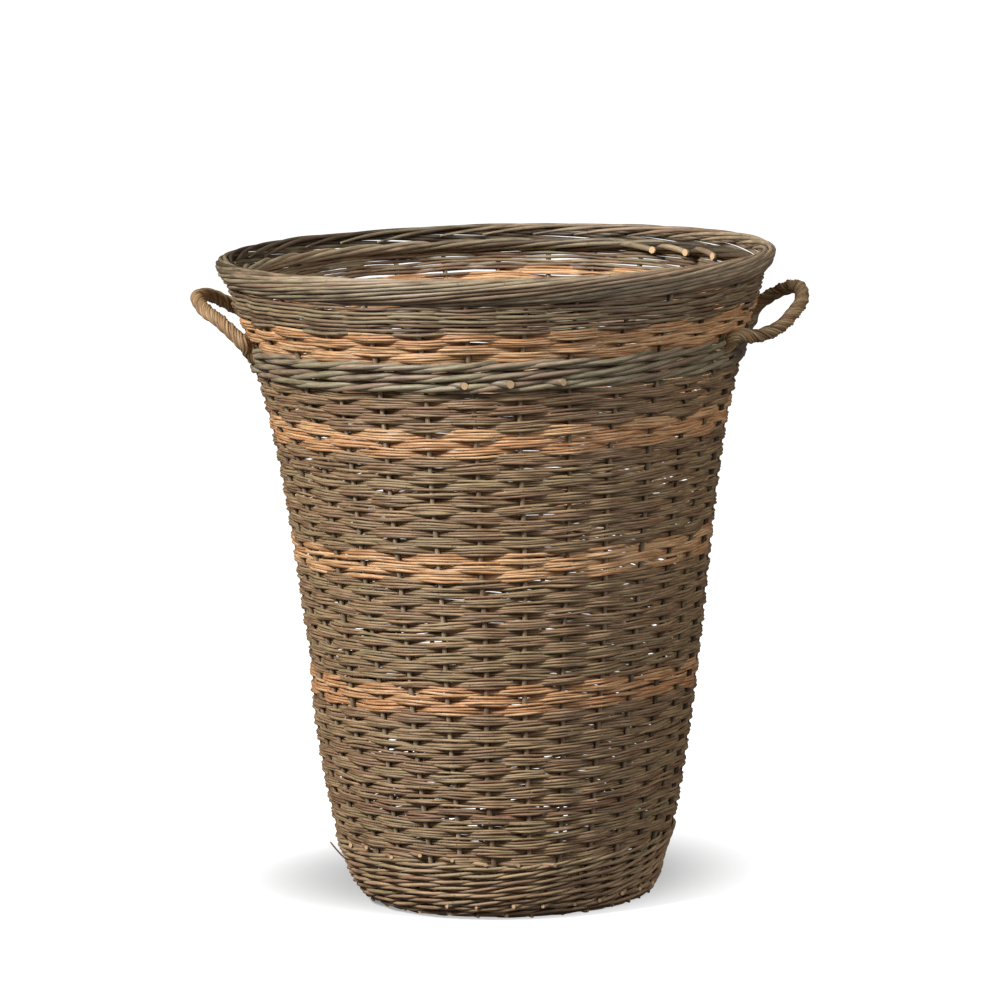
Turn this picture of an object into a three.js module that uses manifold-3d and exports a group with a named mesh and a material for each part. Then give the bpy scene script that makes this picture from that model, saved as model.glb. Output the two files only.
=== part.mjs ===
// Hop basket in stake-and-strand willow work, in millimetres, +Z up.
// The origin is on the floor under the middle of the base. Angles are measured from +X towards +Y.
// The stakes are the uprights. Every other rod of the wall is woven round them in one unbroken spiral,
// and at the rim the stakes themselves are laid down into the border.
import * as THREE from 'three';
import Module from 'manifold-3d';

// Base: two arms of sticks, one arm pushed through slots in the other
const STICKS_PER_ARM = 4;
const STICK_RADIUS = 5;
const STICK_SPACING = 10.4;
const SHAVED_THICKNESS = 3.8;
const SLOT_CLEARANCE = 0.2;
const SLOT_MARGIN = 0.7;
const BASE_EDGE_RADIUS = 160;
const BASE_MIDDLE_RADIUS = 100;
const BASE_OPENED_RADIUS = 45;
const BASE_EDGE_HEIGHT = 9.2;
const BASE_MIDDLE_HEIGHT = 17;
const BASE_CROWN_HEIGHT = 21;
const BASE_ROW_COUNT = 6;
const BASE_WEAVER_THICKNESS = 3;
const BASE_TIP_TURNS = 0.25;

// Stakes: two beside each stick end but one. An odd number lets a single weaver go round and round
const STICK_ENDS = 4 * STICKS_PER_ARM;
const STAKE_COUNT = 2 * STICK_ENDS - 1;
const STAKE_RADIUS = 3.25;
const FIRST_STAKE_ANGLE = THREE.MathUtils.degToRad(-3.1);

// Heights of the bands of weaving between the floor and the rim. Olive siding fills what the other bands
// leave, and each of its four bands has its share of that
const RIM_HEIGHT = 815;
const FOOT_HEIGHT = 101;
const BUFF_1_HEIGHT = 35;
const BUFF_2_HEIGHT = 34;
const BUFF_3_HEIGHT = 34;
const BUFF_4_HEIGHT = 36;
const MID_WALE_HEIGHT = 40;
const UPPER_HEIGHT = 38;
const OLIVE_1_SHARE = 0.36;
const OLIVE_2_SHARE = 0.282;
const OLIVE_3_SHARE = 0.257;
const OLIVE_4_SHARE = 0.101;

// Line of the stakes: they leave the base flat, are bent up through the foot, and flare to the rim.
// Each radius above the foot is where that band ends
const STAKE_START_HEIGHT = 7.6;
const BEND_RADIUS = 165;
const UPSET_RADIUS = 203;
const UPSET_HEIGHT = 42;
const FOOT_TOP_RADIUS = 217.2;
const BUFF_1_TOP_RADIUS = 249.2;
const BUFF_2_TOP_RADIUS = 271;
const OLIVE_3_TOP_RADIUS = 290.6;
const MID_WALE_TOP_RADIUS = 320.6;
const RIM_RADIUS = 334;
const BEND_SEGMENTS = 5;
const WALL_SEGMENTS = 6;

// Weavers: the height of a row along the wall, and how far a bundle of rods stands off the stakes
const FOOT_ROW = 15;
const SIDING_ROW = 22;
const MID_WALE_ROW = 13.5;
const UPPER_ROW = 12;
const FOOT_THICKNESS = 4.2;
const SIDING_THICKNESS = 4;
const MID_WALE_THICKNESS = 6;
const UPPER_THICKNESS = 3.5;
const WEAVE_CLEARANCE = 0.45;
const FOOT_CLEARANCE = 1.4;
const ROW_GAP = 0.45;
const END_GAP = 0.5;
const TIP_STEPS = 8;

// Border: each stake is laid to the right and turns round the border's middle line
const BORDER_OUT = 12.5;
const BORDER_UP = 18;
const BORDER_TURN_RADIUS = 9.5;
const BORDER_ROD_RADIUS = 4;
const BORDER_TIP_RADIUS = 3;
const BORDER_SPACES = 5;
const BORDER_FIRST_TURN = THREE.MathUtils.degToRad(-110);
const BORDER_TURN_PER_SPACE = THREE.MathUtils.degToRad(54);

// Handles: three-strand willow rope, its legs turned down on the outside of the mid wale
const ROPE_RADIUS = 7;
const ROPE_VALLEY_RADIUS = 4.9;
const ROPE_LAY = 90;
const ROPE_STRANDS = 3;
const ROPE_STEPS = 30;
const HANDLE_SEAT_GAP = 0.5;
const HANDLE_ROOT_ABOVE_WALE = 4;
const HANDLE_SPACES = 3;
const HANDLE_REACH = 54;
const HANDLE_RISE = 44;
const HANDLE_TAIL = 26;

const OLIVE = { color: 0x75683f, roughness: 0.62, metalness: 0 };
const BUFF = { color: 0xb07c4c, roughness: 0.58, metalness: 0 };
const GREEN = { color: 0x6f6b4b, roughness: 0.55, metalness: 0 };
const BROWN = { color: 0x5f4f38, roughness: 0.65, metalness: 0 };
const ROPE = { color: 0x8a6a40, roughness: 0.6, metalness: 0 };

const wasm = await Module();
wasm.setup();

const basket = new THREE.Group();

/** Adds one named piece to the basket and returns it. */
function addPiece(name, geometry, finish) {
  geometry.computeVertexNormals();
  const mesh = new THREE.Mesh(geometry, new THREE.MeshStandardMaterial(finish));
  mesh.name = name;
  basket.add(mesh);
  return mesh;
}

/** Signed volume that the triangles enclose, negative where they face inwards. */
function enclosedVolume(points, triangles) {
  let volume = 0;
  for (let corner = 0; corner < triangles.length; corner += 3) {
    const [a, b, c] = [0, 1, 2].map((offset) => points[triangles[corner + offset]]);
    volume += a.dot(b.clone().cross(c)) / 6;
  }
  return volume;
}

/** Closed tube through rings of points, with flat ends and its faces pointing out. */
function tube(rings) {
  const sides = rings[0].length;
  const points = rings.flat();
  const triangles = [];
  for (let ring = 0; ring + 1 < rings.length; ring += 1) {
    for (let side = 0; side < sides; side += 1) {
      const near = ring * sides + side;
      const beside = ring * sides + ((side + 1) % sides);
      triangles.push(near, beside, beside + sides, near, beside + sides, near + sides);
    }
  }
  const last = points.length - sides;
  for (let side = 1; side + 1 < sides; side += 1) {
    triangles.push(0, side + 1, side);
    triangles.push(last, last + side, last + side + 1);
  }
  const outward = enclosedVolume(points, triangles) < 0 ? triangles.reverse() : triangles;
  const geometry = new THREE.BufferGeometry().setFromPoints(points);
  geometry.setIndex(outward);
  return geometry;
}

/** Rod along a line of points: sectionAt(index) gives its section as [sideways, upwards] pairs. */
function sweep(line, sectionAt, firstSide) {
  const directions = line.slice(1).map((point, index) => point.clone().sub(line[index]).normalize());
  const side = firstSide.clone();
  const rings = line.map((point, index) => {
    const arriving = directions[Math.max(index - 1, 0)];
    const leaving = directions[Math.min(index, directions.length - 1)];
    const mitre = arriving.clone().add(leaving).normalize();
    const up = arriving.clone().cross(side);
    const ring = sectionAt(index).map(([sideways, upwards]) => {
      const reach = side.clone().multiplyScalar(sideways).addScaledVector(up, upwards);
      reach.addScaledVector(arriving, -reach.dot(mitre) / arriving.dot(mitre));
      return point.clone().add(reach);
    });
    side.applyQuaternion(new THREE.Quaternion().setFromUnitVectors(arriving, leaving));
    return ring;
  });
  return tube(rings);
}

/** Section of a rod, with a corner on each of its two axes. */
function rodSection(radius, thickness = 2 * radius) {
  return [[radius, 0], [0, thickness / 2], [-radius, 0], [0, -thickness / 2]];
}

/** Point at a radius, angle and height. */
function around(radius, angle, height) {
  return new THREE.Vector3(radius * Math.cos(angle), radius * Math.sin(angle), height);
}

/** The surface that rods are woven on: a line of [radius, height] points turned about Z. */
function wovenSurface(outline) {
  const points = outline.map(([radius, height]) => new THREE.Vector2(radius, height));
  const directions = points.slice(1).map((point, index) => point.clone().sub(points[index]).normalize());
  const normals = points.map((_, index) => {
    const before = directions[Math.max(index - 1, 0)];
    const after = directions[Math.min(index, directions.length - 1)];
    const mean = before.clone().add(after).normalize();
    return new THREE.Vector2(mean.y, -mean.x).divideScalar(mean.dot(after));
  });
  const distances = [0];
  points.slice(1).forEach((point, index) => {
    distances.push(distances[index] + point.distanceTo(points[index]));
  });
  return {
    points,
    length: distances.at(-1),
    /** Point at a distance along the line and an offset outwards, square to it. */
    at(distance, offset) {
      const beyond = distances.findIndex((reached, index) => index > 0 && reached >= distance);
      const next = beyond < 0 ? points.length - 1 : beyond;
      const share = (distance - distances[next - 1]) / (distances[next] - distances[next - 1]);
      const point = points[next - 1].clone().lerp(points[next], share);
      return point.addScaledVector(normals[next - 1].clone().lerp(normals[next], share), offset);
    },
    /** Distance along the line at which it reaches a height. */
    distanceAtHeight(height) {
      const beyond = points.findIndex((point, index) => index > 0 && point.y >= height);
      const next = beyond < 0 ? points.length - 1 : beyond;
      const share = (height - points[next - 1].y) / (points[next].y - points[next - 1].y);
      return distances[next - 1] + share * (distances[next] - distances[next - 1]);
    },
  };
}

/**
 * One weaver, with a ring at every upright that it passes, and one halfway where ringsPerStep is two.
 * span(step) gives its lower and upper edge as distances along the surface, and isInside(step) whether it
 * passes behind that upright. Its face is a ridge, or a flat one where it has to lie on the floor.
 */
function weaver(options) {
  const { surface, uprights, firstAngle, standOff, thickness, from, to, span, isInside, flat } = options;
  const { ringsPerStep = 1 } = options;
  const stepAngle = (2 * Math.PI) / uprights;
  const rings = [];
  for (let step = from; step <= to; step += 1 / ringsPerStep) {
    const besideUpright = isInside(step) ? -standOff - thickness : standOff;
    const inner = Number.isInteger(step) ? besideUpright : -thickness / 2;
    const middle = surface.at(span(step)[0], 0);
    const endShift = END_GAP / 2 / (middle.x * stepAngle);
    const shift = (step === from ? endShift : 0) - (step === to ? endShift : 0);
    const [lower, upper] = span(step + shift);
    const face = flat
      ? [[lower, inner + thickness], [upper, inner + thickness]]
      : [[(lower + upper) / 2, inner + thickness]];
    const section = [[lower, inner], ...face, [upper, inner]];
    rings.push(section.map(([distance, offset]) => {
      const point = surface.at(distance, offset);
      return around(point.x, firstAngle + (step + shift) * stepAngle, Math.max(point.y, 0));
    }));
  }
  return tube(rings);
}

/** Cuts one closed solid out of another. */
function subtract(geometry, tool) {
  const [body, cutter] = [geometry, tool].map((part) => new wasm.Manifold(new wasm.Mesh({
    numProp: 3,
    vertProperties: new Float32Array(part.getAttribute('position').array),
    triVerts: new Uint32Array(part.getIndex().array),
  })));
  const result = body.subtract(cutter).getMesh();
  const cut = new THREE.BufferGeometry();
  cut.setAttribute('position', new THREE.BufferAttribute(new Float32Array(result.vertProperties), 3));
  cut.setIndex([...result.triVerts]);
  return cut;
}

// Base sticks: side by side at the middle, then opened out like the spokes of a wheel
const slathHalfWidth = (STICKS_PER_ARM * STICK_SPACING) / 2 + SLOT_MARGIN;
const spokeAngle = (2 * Math.PI) / STICK_ENDS;
const slotHalfHeight = SHAVED_THICKNESS / 2 + SLOT_CLEARANCE;

/** Line of a stick that lies across the base along X, from its right end to its left. */
function stickLine(place) {
  const fromMiddle = place - (STICKS_PER_ARM - 1) / 2;
  const angle = fromMiddle * spokeAngle;
  const half = [
    around(BASE_EDGE_RADIUS - END_GAP, angle, BASE_EDGE_HEIGHT),
    around(BASE_MIDDLE_RADIUS, angle, BASE_MIDDLE_HEIGHT),
    around(BASE_OPENED_RADIUS, angle, BASE_CROWN_HEIGHT),
    new THREE.Vector3(slathHalfWidth, fromMiddle * STICK_SPACING, BASE_CROWN_HEIGHT),
  ];
  const otherHalf = half.map((point) => new THREE.Vector3(-point.x, point.y, point.z)).reverse();
  return [...half, ...otherHalf];
}

const slot = new THREE.BoxGeometry(
  2 * slathHalfWidth - SLOT_CLEARANCE,
  2 * STICKS_PER_ARM * STICK_SPACING,
  2 * slotHalfHeight,
);
slot.translate(0, 0, BASE_CROWN_HEIGHT);
slot.deleteAttribute('normal');
slot.deleteAttribute('uv');
const slotSolid = weldedBox(slot);

/** The box with one vertex at each corner. */
function weldedBox(box) {
  const corners = [];
  const places = new Map();
  const position = box.getAttribute('position');
  const index = [...box.getIndex().array].map((vertex) => {
    const corner = new THREE.Vector3().fromBufferAttribute(position, vertex);
    const key = corner.toArray().join();
    if (!places.has(key)) {
      places.set(key, corners.length);
      corners.push(corner);
    }
    return places.get(key);
  });
  const welded = new THREE.BufferGeometry().setFromPoints(corners);
  welded.setIndex(index);
  return welded;
}

for (let place = 0; place < STICKS_PER_ARM; place += 1) {
  const line = stickLine(place);
  const sideways = new THREE.Vector3(0, 1, 0);
  const middleRings = [line.length / 2 - 1, line.length / 2];
  const round = sweep(line, () => rodSection(STICK_RADIUS), sideways);
  addPiece(`base_stick_${place + 1}`, subtract(round, slotSolid), BROWN);
  const shavedAt = (index) => (middleRings.includes(index) ? SHAVED_THICKNESS : 2 * STICK_RADIUS);
  const shaved = sweep(line, (index) => rodSection(STICK_RADIUS, shavedAt(index)), sideways);
  addPiece(`base_stick_${STICKS_PER_ARM + place + 1}`, shaved, BROWN).rotation.z = Math.PI / 2;
}

// Base weave: two weavers that chase each other, because the stick ends are even in number
const baseSurface = wovenSurface([
  [BASE_OPENED_RADIUS, BASE_CROWN_HEIGHT],
  [BASE_MIDDLE_RADIUS, BASE_MIDDLE_HEIGHT],
  [BASE_EDGE_RADIUS, BASE_EDGE_HEIGHT],
]);
const baseRow = baseSurface.length / BASE_ROW_COUNT;
const clampBaseRow = (row) => THREE.MathUtils.clamp(row, 0, BASE_ROW_COUNT) * baseRow;
['a', 'b'].forEach((letter, chaser) => {
  const rowAt = (step) => (2 * step) / STICK_ENDS - 2 + chaser;
  addPiece(`base_weave_${letter}`, weaver({
    surface: baseSurface,
    uprights: STICK_ENDS,
    firstAngle: spokeAngle / 2,
    standOff: STICK_RADIUS + WEAVE_CLEARANCE,
    thickness: BASE_WEAVER_THICKNESS,
    from: Math.ceil(((BASE_TIP_TURNS + 1 - chaser) * STICK_ENDS) / 2),
    to: Math.floor(((BASE_ROW_COUNT + 2 - chaser - BASE_TIP_TURNS) * STICK_ENDS) / 2),
    span: (step) => [clampBaseRow(rowAt(step)), clampBaseRow(rowAt(step) + 1) - ROW_GAP],
    isInside: (step) => (step + chaser) % 2 === 0,
    ringsPerStep: 2,
  }), BROWN);
});

// Bands of weaving, from the floor up. A wale goes over two stakes and under one, and the rest goes over one
// and under one
const buffHeights = BUFF_1_HEIGHT + BUFF_2_HEIGHT + BUFF_3_HEIGHT + BUFF_4_HEIGHT;
const oliveHeights = RIM_HEIGHT - FOOT_HEIGHT - buffHeights - MID_WALE_HEIGHT - UPPER_HEIGHT;
const oliveShares = OLIVE_1_SHARE + OLIVE_2_SHARE + OLIVE_3_SHARE + OLIVE_4_SHARE;
const oliveHeight = (share) => (oliveHeights * share) / oliveShares;
const footWale = { over: 2, row: FOOT_ROW, thickness: FOOT_THICKNESS, finish: OLIVE };
const oliveSiding = { over: 1, row: SIDING_ROW, thickness: SIDING_THICKNESS, finish: OLIVE };
const buffSiding = { ...oliveSiding, finish: BUFF };
const midWale = { over: 2, row: MID_WALE_ROW, thickness: MID_WALE_THICKNESS, finish: GREEN };
const upperRand = { over: 1, row: UPPER_ROW, thickness: UPPER_THICKNESS, finish: OLIVE };
const bands = [
  { name: 'foot_wale', height: FOOT_HEIGHT, topRadius: FOOT_TOP_RADIUS, ...footWale },
  { name: 'siding_olive_1', height: oliveHeight(OLIVE_1_SHARE), ...oliveSiding },
  { name: 'siding_buff_1', height: BUFF_1_HEIGHT, topRadius: BUFF_1_TOP_RADIUS, ...buffSiding },
  { name: 'siding_olive_2', height: oliveHeight(OLIVE_2_SHARE), ...oliveSiding },
  { name: 'siding_buff_2', height: BUFF_2_HEIGHT, topRadius: BUFF_2_TOP_RADIUS, ...buffSiding },
  {
    name: 'siding_olive_3',
    height: oliveHeight(OLIVE_3_SHARE),
    topRadius: OLIVE_3_TOP_RADIUS,
    ...oliveSiding,
  },
  { name: 'siding_buff_3', height: BUFF_3_HEIGHT, ...buffSiding },
  { name: 'siding_olive_4', height: oliveHeight(OLIVE_4_SHARE), ...oliveSiding },
  { name: 'mid_wale', height: MID_WALE_HEIGHT, topRadius: MID_WALE_TOP_RADIUS, ...midWale },
  { name: 'siding_buff_4', height: BUFF_4_HEIGHT, ...buffSiding },
  { name: 'upper_rand', height: UPPER_HEIGHT, topRadius: RIM_RADIUS, ...upperRand },
];
bands.forEach((band, index) => {
  band.top = band.height + (index > 0 ? bands[index - 1].top : 0);
});

// Wall: the line of the stakes, first the bend at the foot and then the flaring side
const side = new THREE.SplineCurve([
  new THREE.Vector2(UPSET_RADIUS, UPSET_HEIGHT),
  ...bands.filter((band) => band.topRadius).map((band) => new THREE.Vector2(band.topRadius, band.top)),
]);
const footSlope = (FOOT_TOP_RADIUS - UPSET_RADIUS) / (FOOT_HEIGHT - UPSET_HEIGHT);
const bend = new THREE.QuadraticBezierCurve(
  new THREE.Vector2(BEND_RADIUS, STAKE_START_HEIGHT),
  new THREE.Vector2(UPSET_RADIUS - (UPSET_HEIGHT - STAKE_START_HEIGHT) * footSlope, STAKE_START_HEIGHT),
  new THREE.Vector2(UPSET_RADIUS, UPSET_HEIGHT),
);
const wallStartRadius = (BASE_EDGE_RADIUS + END_GAP) / Math.cos(Math.PI / STAKE_COUNT);
const wall = wovenSurface([
  [wallStartRadius, STAKE_START_HEIGHT],
  ...bend.getPoints(BEND_SEGMENTS).map((point) => point.toArray()),
  ...side.getSpacedPoints(WALL_SEGMENTS).slice(1).map((point) => point.toArray()),
]);

// Whole turns in each band, and the step and distance at which it ends on the line between the rows
const joints = [{ step: 0, distance: 0 }];
bands.forEach((band) => {
  const below = joints.at(-1);
  const distance = wall.distanceAtHeight(band.top);
  const turns = Math.max(1, Math.round((distance - below.distance) / band.row));
  joints.push({ step: below.step + turns * STAKE_COUNT, distance });
});

/** Distance along the wall of the line between two rows, which climbs one row in each turn. */
function rowLine(step) {
  const last = joints.at(-1);
  const climbed = THREE.MathUtils.clamp(step, 0, last.step);
  const next = joints.findIndex((joint, index) => index > 0 && joint.step >= climbed);
  const [below, above] = [joints[next - 1], joints[next]];
  const share = (climbed - below.step) / (above.step - below.step);
  return THREE.MathUtils.lerp(below.distance, above.distance, share);
}

const halfTurn = Math.floor(STAKE_COUNT / 2);
const startStake = Math.round(STAKE_COUNT / 4) - halfTurn;
bands.forEach((band, index) => {
  const isFirst = index === 0;
  const isLast = index === bands.length - 1;
  addPiece(band.name, weaver({
    surface: wall,
    uprights: STAKE_COUNT,
    firstAngle: FIRST_STAKE_ANGLE + (startStake * 2 * Math.PI) / STAKE_COUNT,
    standOff: STAKE_RADIUS + (isFirst ? FOOT_CLEARANCE : WEAVE_CLEARANCE),
    thickness: band.thickness,
    from: isFirst ? TIP_STEPS : joints[index].step + halfTurn,
    to: isLast ? joints[index + 1].step + STAKE_COUNT - TIP_STEPS : joints[index + 1].step + halfTurn,
    span: (step) => [rowLine(step - STAKE_COUNT), rowLine(step) - ROW_GAP],
    isInside: (step) => step % (band.over + 1) === 0,
    flat: isFirst,
  }), band.finish);
});

// Stakes: up the wall, and then laid down to the right round the middle line of the border
const stakeLine = wall.points.map((point) => new THREE.Vector3(point.x, 0, point.y));
for (let space = 0; space <= BORDER_SPACES; space += 1) {
  const turned = BORDER_FIRST_TURN + space * BORDER_TURN_PER_SPACE;
  stakeLine.push(around(
    RIM_RADIUS + BORDER_OUT + BORDER_TURN_RADIUS * Math.cos(turned),
    space * ((2 * Math.PI) / STAKE_COUNT),
    RIM_HEIGHT + BORDER_UP + BORDER_TURN_RADIUS * Math.sin(turned),
  ));
}

/** Radius of a stake at a point of its line: it thins to its tip along the border. */
function stakeRadiusAt(index) {
  const along = (index - wall.points.length) / BORDER_SPACES;
  return along < 0 ? STAKE_RADIUS : THREE.MathUtils.lerp(BORDER_ROD_RADIUS, BORDER_TIP_RADIUS, along);
}

const outwards = new THREE.Vector3(0, 1, 0);
const stakeGeometry = sweep(stakeLine, (index) => rodSection(stakeRadiusAt(index)), outwards);
for (let stake = 0; stake < STAKE_COUNT; stake += 1) {
  const mesh = addPiece(`stake_${String(stake + 1).padStart(2, '0')}`, stakeGeometry, BROWN);
  mesh.rotation.z = FIRST_STAKE_ANGLE + (stake * 2 * Math.PI) / STAKE_COUNT;
}

// Handles: each leg comes down on a stake, and because the stakes are odd in number the two handles stand
// half a space short of opposite. A route point is [share of half the width, of the reach, of the rise]
const rightRoute = [[-1, 0.05, 0], [-0.76, 0.37, 0], [-0.47, 0.74, 0.25], [0, 1, 0.82], [0.47, 0.8, 1.07],
  [0.79, 0.43, 0.86], [1, 0.05, 0.4]];
const leftRoute = [[-1, 0.05, 0.36], [-0.79, 0.43, 0.75], [-0.47, 0.76, 1.1], [0, 0.93, 1], [0.42, 0.73, 0.64],
  [0.74, 0.4, 0.34], [1, 0.05, 0]];
const handles = [
  { name: 'handle_right', firstStake: -2, route: rightRoute },
  { name: 'handle_left', firstStake: (STAKE_COUNT - HANDLE_SPACES) / 2, route: leftRoute },
];
const rootHeight = bands.find((band) => band.name === 'mid_wale').top + HANDLE_ROOT_ABOVE_WALE;
const waleFace = STAKE_RADIUS + WEAVE_CLEARANCE + MID_WALE_THICKNESS;
const seatOffset = waleFace + HANDLE_SEAT_GAP + ROPE_RADIUS;

/** Point of a handle, at an angle from its middle, a distance off the wale's outer face and a height. */
function handlePoint(angle, away, height) {
  const seat = wall.at(wall.distanceAtHeight(height), seatOffset);
  return around(seat.x + away, angle, height);
}

/** Section of the rope, turned on as far as the lay has wound at a distance along it. */
function ropeSection(distance) {
  const corners = 2 * ROPE_STRANDS;
  return Array.from({ length: corners }, (_, corner) => {
    const angle = (corner / corners + distance / ROPE_LAY) * 2 * Math.PI;
    const radius = corner % 2 === 0 ? ROPE_RADIUS : ROPE_VALLEY_RADIUS;
    return [radius * Math.cos(angle), radius * Math.sin(angle)];
  });
}

handles.forEach(({ name, firstStake, route }) => {
  const halfAngle = (HANDLE_SPACES * Math.PI) / STAKE_COUNT;
  const tail = (end, share) => handlePoint(end * halfAngle, 0, rootHeight - share * HANDLE_TAIL);
  const loop = route.map(([across, away, rise]) => handlePoint(
    across * halfAngle,
    away * HANDLE_REACH,
    rootHeight + rise * HANDLE_RISE,
  ));
  const firstTail = [tail(-1, 1), tail(-1, 0.5)];
  const lastTail = [tail(1, 0.5), tail(1, 1)];
  const curve = new THREE.CatmullRomCurve3([...firstTail, ...loop, ...lastTail]);
  const line = curve.getSpacedPoints(ROPE_STEPS);
  const spacing = curve.getLength() / ROPE_STEPS;
  const upTheLeg = line[1].clone().sub(line[0]).normalize();
  const acrossTheLeg = new THREE.Vector3(0, 1, 0).cross(upTheLeg).normalize();
  const mesh = addPiece(name, sweep(line, (index) => ropeSection(index * spacing), acrossTheLeg), ROPE);
  mesh.rotation.z = FIRST_STAKE_ANGLE + ((firstStake + HANDLE_SPACES / 2) * 2 * Math.PI) / STAKE_COUNT;
});

export default basket;
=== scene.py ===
"""Hop picking basket in stake-and-strand willow work, every rod of it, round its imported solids.

The stakes are the uprights. A foot wale, siding worked with four rods at a time, four buff bands, a mid wale
and a thin upper part climb round them in one spiral, and the stakes' tops are laid down into the border.
Lengths are in metres and angles in radians, and a step is one space between two stakes.
"""

import logging
import math
from dataclasses import dataclass, field
from enum import Enum
from functools import cache

import bpy
import numpy as np
from mathutils import Matrix, Vector


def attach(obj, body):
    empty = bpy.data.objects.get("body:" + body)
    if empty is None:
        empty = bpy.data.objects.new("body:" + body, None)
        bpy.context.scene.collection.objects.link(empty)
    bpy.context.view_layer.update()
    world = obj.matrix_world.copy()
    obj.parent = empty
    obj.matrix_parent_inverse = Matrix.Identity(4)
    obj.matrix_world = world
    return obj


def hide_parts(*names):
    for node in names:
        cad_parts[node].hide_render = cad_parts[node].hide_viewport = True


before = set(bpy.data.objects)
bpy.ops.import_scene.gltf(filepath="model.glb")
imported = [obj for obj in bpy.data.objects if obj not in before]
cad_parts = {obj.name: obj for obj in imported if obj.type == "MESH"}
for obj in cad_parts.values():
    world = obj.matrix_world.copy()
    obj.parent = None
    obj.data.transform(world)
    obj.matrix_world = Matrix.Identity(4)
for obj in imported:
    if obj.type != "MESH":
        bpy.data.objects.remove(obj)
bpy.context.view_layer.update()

MM = 0.001
TURN = 2 * math.pi
BODY = "root"
LOG = logging.getLogger("hop_basket")

Colour = tuple[float, float, float]
Pair = tuple[float, float]
Points = np.ndarray


def around(radius: Points, angle: Points, height: Points) -> Points:
    """Points at a radius and an angle round the basket's axis, one a row."""
    return np.stack([radius * np.cos(angle), radius * np.sin(angle), height], axis=1)


def lengths(line: Points) -> Points:
    """Length along a line up to each of its points."""
    return np.concatenate([[0], np.cumsum(np.linalg.norm(np.diff(line, axis=0), axis=1))])


class Work(Enum):
    """Ways of working a band, by the number of stakes that a rod passes in front of."""

    SLEW = "several rods at a time, over one stake and under one"
    WALE = "three rods in turn, over two stakes and under one"


@dataclass(frozen=True)
class Bark:
    """Look of one kind of willow rod."""

    name: str
    slot: str
    pale: Colour
    deep: Colour
    blush: Colour
    moss: Colour
    blush_share: float = 0.25
    moss_share: float = 0.3
    roughness: float = 0.54
    scar_spacing: float = 38 * MM
    scar_size: float = 1.6 * MM
    streak_depth: float = 0.9


OLIVE = Bark(
    "olive_bark", "siding_willow", pale=(0.43, 0.28, 0.15), deep=(0.115, 0.06, 0.028),
    blush=(0.22, 0.11, 0.065), moss=(0.3, 0.228, 0.115),
)
FOOT = Bark(
    "foot_bark", "siding_willow", pale=(0.57, 0.38, 0.215), deep=(0.15, 0.085, 0.043),
    blush=(0.24, 0.125, 0.078), moss=(0.3, 0.225, 0.12),
)
BUFF = Bark(
    "buff_peeled", "buff_willow", pale=(0.74, 0.45, 0.23), deep=(0.33, 0.14, 0.05),
    blush=(0.5, 0.225, 0.095), moss=(0.62, 0.4, 0.21), roughness=0.46,
)
GREEN = Bark(
    "green_bark", "green_willow", pale=(0.39, 0.305, 0.2), deep=(0.115, 0.082, 0.05),
    blush=(0.26, 0.16, 0.107), moss=(0.29, 0.25, 0.145), moss_share=0.4, roughness=0.48,
)
GREY = Bark(
    "grey_bark", "siding_willow", pale=(0.315, 0.205, 0.115), deep=(0.085, 0.047, 0.025),
    blush=(0.18, 0.098, 0.062), moss=(0.28, 0.23, 0.13), blush_share=0.3,
)
STAKE = Bark(
    "stake_bark", "stake_willow", pale=(0.43, 0.325, 0.208), deep=(0.115, 0.077, 0.046),
    blush=(0.24, 0.147, 0.09), moss=(0.28, 0.227, 0.132), roughness=0.48,
)
ROPE = Bark(
    "rope_bark", "handle_willow", pale=(0.46, 0.29, 0.13), deep=(0.14, 0.075, 0.035),
    blush=(0.22, 0.11, 0.055), moss=(0.36, 0.27, 0.14), roughness=0.56,
)


class Value:
    """A socket that carries one number, so that shader maths can be written as Python expressions."""

    def __init__(self, tree: "Tree", socket: bpy.types.NodeSocket) -> None:
        """Keeps the socket and the tree that it belongs to."""
        self.tree = tree
        self.socket = socket

    def _with(self, operation: str, first: object, second: object) -> "Value":
        """Value of one maths operation on two values."""
        node = self.tree.add("ShaderNodeMath", {"operation": operation}, {0: first, 1: second})
        return Value(self.tree, node.outputs[0])

    def __add__(self, other: object) -> "Value":
        """Sum."""
        return self._with("ADD", self, other)

    __radd__ = __add__

    def __mul__(self, other: object) -> "Value":
        """Product."""
        return self._with("MULTIPLY", self, other)

    __rmul__ = __mul__

    def __sub__(self, other: object) -> "Value":
        """Difference."""
        return self._with("SUBTRACT", self, other)

    def __rsub__(self, other: object) -> "Value":
        """Difference the other way round."""
        return self._with("SUBTRACT", other, self)

    def __truediv__(self, other: object) -> "Value":
        """Quotient."""
        return self._with("DIVIDE", self, other)

    def by(self, operation: str) -> "Value":
        """Value of one maths operation on this one."""
        return self._with(operation, self, 0.0)

    def ramp(self, low: float, high: float) -> "Value":
        """Works out the share of the way from one value to another, smooth and held between 0 and 1.

        Args:
            low: where the share is 0.
            high: where it is 1.

        Returns:
            The share.
        """
        range_inputs = {"Value": self, "From Min": low, "From Max": high}
        node = self.tree.add("ShaderNodeMapRange", {"interpolation_type": "SMOOTHSTEP"}, range_inputs)
        return Value(self.tree, node.outputs[0])


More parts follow.
